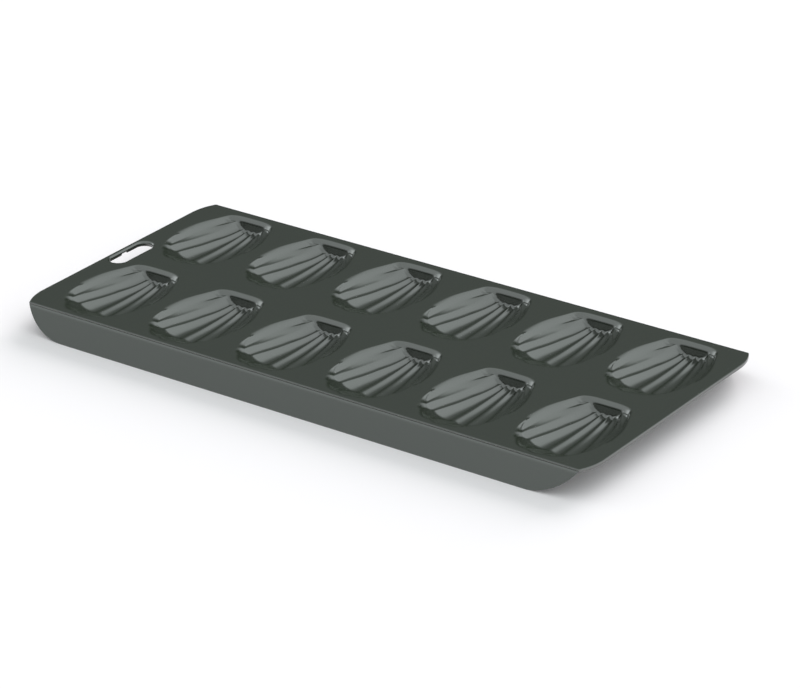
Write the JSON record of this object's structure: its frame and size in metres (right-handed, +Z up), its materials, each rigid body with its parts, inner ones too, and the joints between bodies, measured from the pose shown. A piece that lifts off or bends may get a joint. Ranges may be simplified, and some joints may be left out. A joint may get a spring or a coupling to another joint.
{
  "type": "madeleine pan",
  "caption": "Shallow baking pan for shell-shaped cakes: fluted cups sunk in a rounded rectangular deck, flared skirts along both long sides and a slot at one end to hang it by.",
  "frame": {"origin": "on the table that the pan stands on, under the middle of the pan", "axes": "+X along the pan, with the hanging slot at the -X end; +Y across it, towards the narrow hinge ends of the cups; +Z up"},
  "size_m": [0.395, 0.1976, 0.0165],
  "materials": {
    "coating": "satin non-stick coating on sheet steel, dark grey-green"
  },
  "bodies": {
    "root": {"deck_plate": "coating", "shell_cup_front_1": "coating", "shell_cup_front_2": "coating", "shell_cup_front_3": "coating", "shell_cup_front_4": "coating", "shell_cup_front_5": "coating", "shell_cup_front_6": "coating", "shell_cup_back_1": "coating", "shell_cup_back_2": "coating", "shell_cup_back_3": "coating", "shell_cup_back_4": "coating", "shell_cup_back_5": "coating", "shell_cup_back_6": "coating", "front_skirt": "coating", "back_skirt": "coating"}
  },
  "joints": []
}
